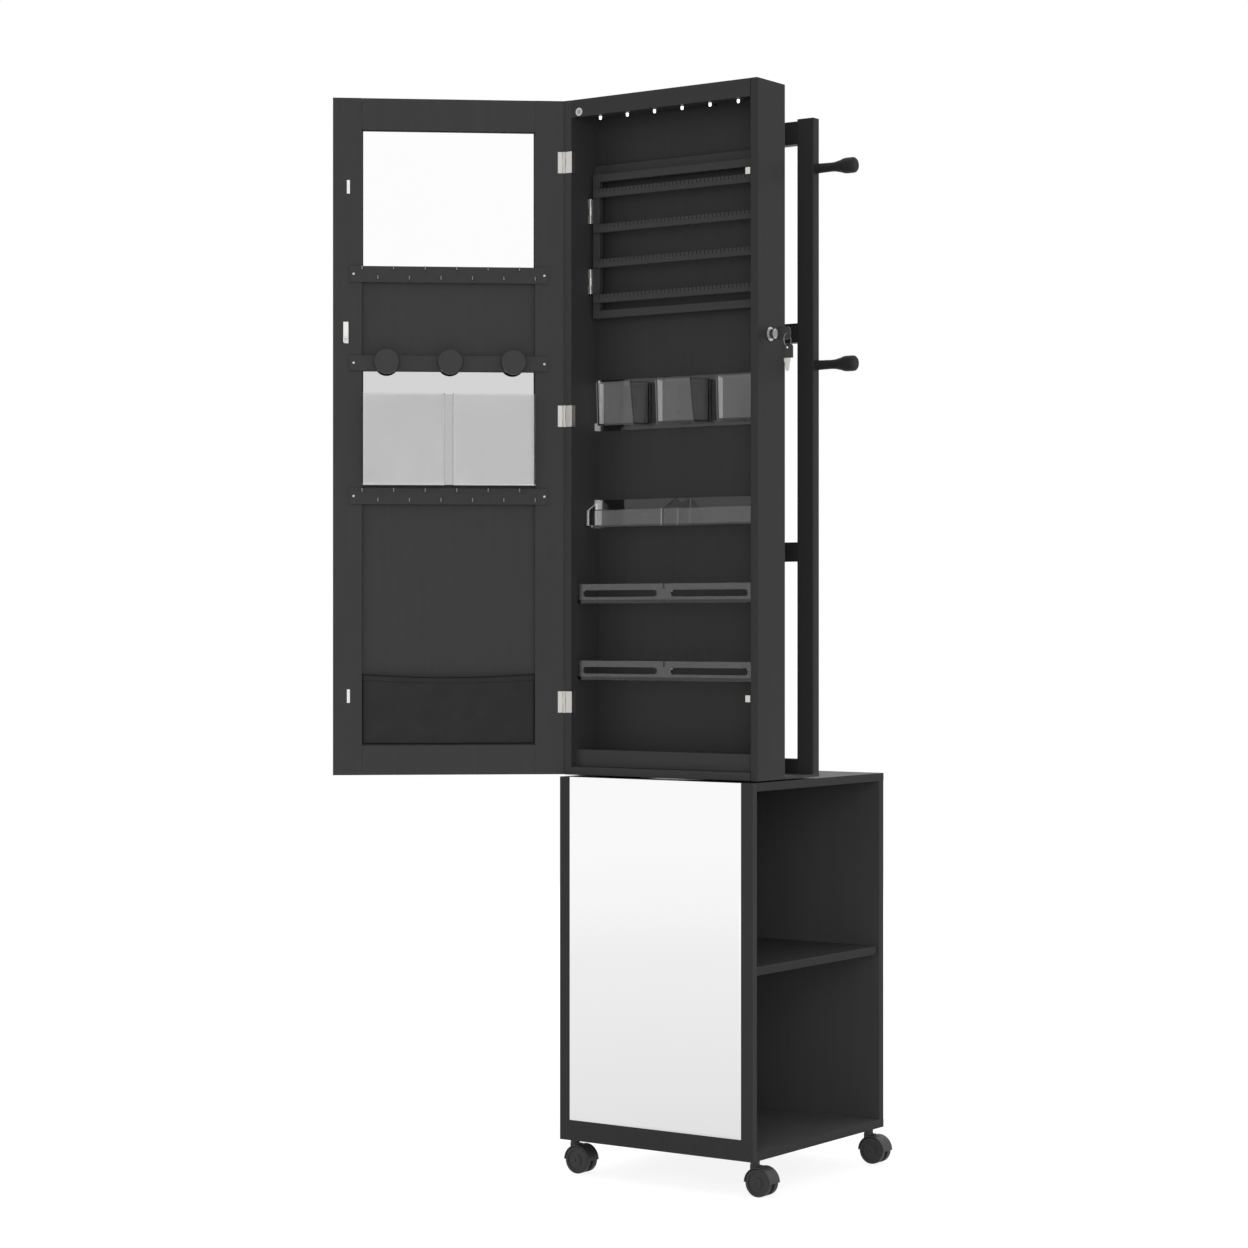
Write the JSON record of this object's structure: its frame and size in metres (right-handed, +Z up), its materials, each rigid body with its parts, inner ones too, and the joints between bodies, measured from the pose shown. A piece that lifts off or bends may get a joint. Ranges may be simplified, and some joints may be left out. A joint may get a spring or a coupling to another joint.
{
  "type": "jewelry cabinet",
  "caption": "Floor-standing jewelry cabinet on castors: an open-sided base, a swivelling mirrored tower with a fitted door, and a coat frame behind.",
  "frame": {"origin": "on the floor, under the middle of the base box", "axes": "+Z up, -Y towards the front mirror and the door, +X towards the base's open side (the viewer's right)"},
  "size_m": [0.6776, 0.5805, 1.596],
  "materials": {
    "black_board": "board with a satin black film",
    "mirror_glass": "silvered glass, bevelled at the edge",
    "bearing_steel": "zinc-plated",
    "castor_plastic": "moulded, satin",
    "black_plastic": "moulded, matt",
    "knob_plastic": "moulded, smooth",
    "lamp_lens": "frosted lens, lit",
    "nickel": "nickel plate, satin",
    "smoked_acrylic": "grey translucent sheet",
    "clear_acrylic": "clear, polished edges",
    "black_cloth": "gathered thin cloth"
  },
  "bodies": {
    "base": {"base_bottom_panel": "black_board", "base_top_panel": "black_board", "base_left_panel": "black_board", "base_back_panel": "black_board", "base_front_panel": "black_board", "base_front_mirror": "mirror_glass", "base_shelf": "black_board", "turntable_lower": "bearing_steel"},
    "castor_fl": {"castor_fork_fl": "castor_plastic"},
    "wheels_fl": {"castor_wheels_fl": "castor_plastic"},
    "castor_fr": {"castor_fork_fr": "castor_plastic"},
    "wheels_fr": {"castor_wheels_fr": "castor_plastic"},
    "castor_rl": {"castor_fork_rl": "castor_plastic"},
    "wheels_rl": {"castor_wheels_rl": "castor_plastic"},
    "castor_rr": {"castor_fork_rr": "castor_plastic"},
    "wheels_rr": {"castor_wheels_rr": "castor_plastic"},
    "tower": {"turntable_upper": "bearing_steel", "tower_plate": "black_board", "cabinet_left_side": "black_board", "cabinet_right_side": "black_board", "cabinet_top": "black_board", "cabinet_bottom": "black_board", "cabinet_back": "black_board", "cabinet_fascia": "black_board", "cabinet_lip": "black_board", "led_strip": "black_plastic", "led_lenses": "lamp_lens", "battery_box": "black_plastic", "switch_ring": "nickel", "cabinet_hinge_leaves": "nickel", "hinge_pins": "nickel", "magnet_catches": "nickel", "shelf_boards": "smoked_acrylic", "shelf_fences": "smoked_acrylic", "clear_tray": "clear_acrylic", "clear_cups": "clear_acrylic", "rack_back_strip": "black_board", "lock_housing": "nickel", "coat_frame_posts": "black_board", "coat_frame_rails": "black_board", "coat_pegs": "black_plastic", "coat_frame_spacers": "black_board"},
    "door": {"door_frame": "black_board", "door_panel": "black_board", "door_outer_mirror": "mirror_glass", "door_inner_mirrors": "mirror_glass", "door_strips": "black_plastic", "door_hooks": "nickel", "door_knobs": "knob_plastic", "door_boxes": "clear_acrylic", "door_pocket": "black_cloth", "door_strike_plates": "nickel", "door_hinge_leaves": "nickel"},
    "rack": {"rack_frame": "black_board", "rack_bars": "black_plastic", "rack_hinge_leaves": "nickel"},
    "lock": {"lock_core": "nickel", "key": "black_plastic"},
    "spare_key": {"key_ring": "nickel"},
    "light_button": {"switch_button": "nickel"}
  },
  "joints": [
    {"name": "tower_swivel", "type": "hinge", "parent": "base", "child": "tower", "pos_m": [0, -0.087, 0.59], "axis": [0, 0, 1], "continuous": true},
    {"name": "door_swing", "type": "hinge", "parent": "tower", "child": "door", "pos_m": [-0.1703, -0.1724, 0.5928], "axis": [0, 0, -1], "range_deg": [-139.8, 40]},
    {"name": "rack_swing", "type": "hinge", "parent": "tower", "child": "rack", "pos_m": [-0.154, -0.1285, 1.2741], "axis": [0, 0, -1], "range_deg": [0, 90]},
    {"name": "lock_turn", "type": "hinge", "parent": "tower", "child": "lock", "pos_m": [0.17, -0.138, 1.2325], "axis": [-1, 0, 0], "range_deg": [0, 90]},
    {"name": "spare_key_swing", "type": "hinge", "parent": "lock", "child": "spare_key", "pos_m": [0.1995, -0.138, 1.2321], "axis": [1, 0, 0], "range_deg": [-20, 20]},
    {"name": "light_press", "type": "slide", "parent": "tower", "child": "light_button", "axis": [0, 1, 0], "range_m": [0, 0.0015], "stiffness_N_per_m": 400},
    {"name": "castor_turn_fl", "type": "hinge", "parent": "base", "child": "castor_fl", "pos_m": [-0.159, -0.16, 0.051], "axis": [0, 0, 1], "continuous": true},
    {"name": "wheel_roll_fl", "type": "hinge", "parent": "castor_fl", "child": "wheels_fl", "pos_m": [-0.1476, -0.16, 0.02], "axis": [0, 1, 0], "continuous": true},
    {"name": "castor_turn_fr", "type": "hinge", "parent": "base", "child": "castor_fr", "pos_m": [0.159, -0.16, 0.051], "axis": [0, 0, 1], "continuous": true},
    {"name": "wheel_roll_fr", "type": "hinge", "parent": "castor_fr", "child": "wheels_fr", "pos_m": [0.1704, -0.16, 0.02], "axis": [0, 1, 0], "continuous": true},
    {"name": "castor_turn_rl", "type": "hinge", "parent": "base", "child": "castor_rl", "pos_m": [-0.159, 0.16, 0.051], "axis": [0, 0, 1], "continuous": true},
    {"name": "wheel_roll_rl", "type": "hinge", "parent": "castor_rl", "child": "wheels_rl", "pos_m": [-0.1476, 0.16, 0.02], "axis": [0, 1, 0], "continuous": true},
    {"name": "castor_turn_rr", "type": "hinge", "parent": "base", "child": "castor_rr", "pos_m": [0.159, 0.16, 0.051], "axis": [0, 0, 1], "continuous": true},
    {"name": "wheel_roll_rr", "type": "hinge", "parent": "castor_rr", "child": "wheels_rr", "pos_m": [0.1704, 0.16, 0.02], "axis": [0, 1, 0], "continuous": true}
  ]
}
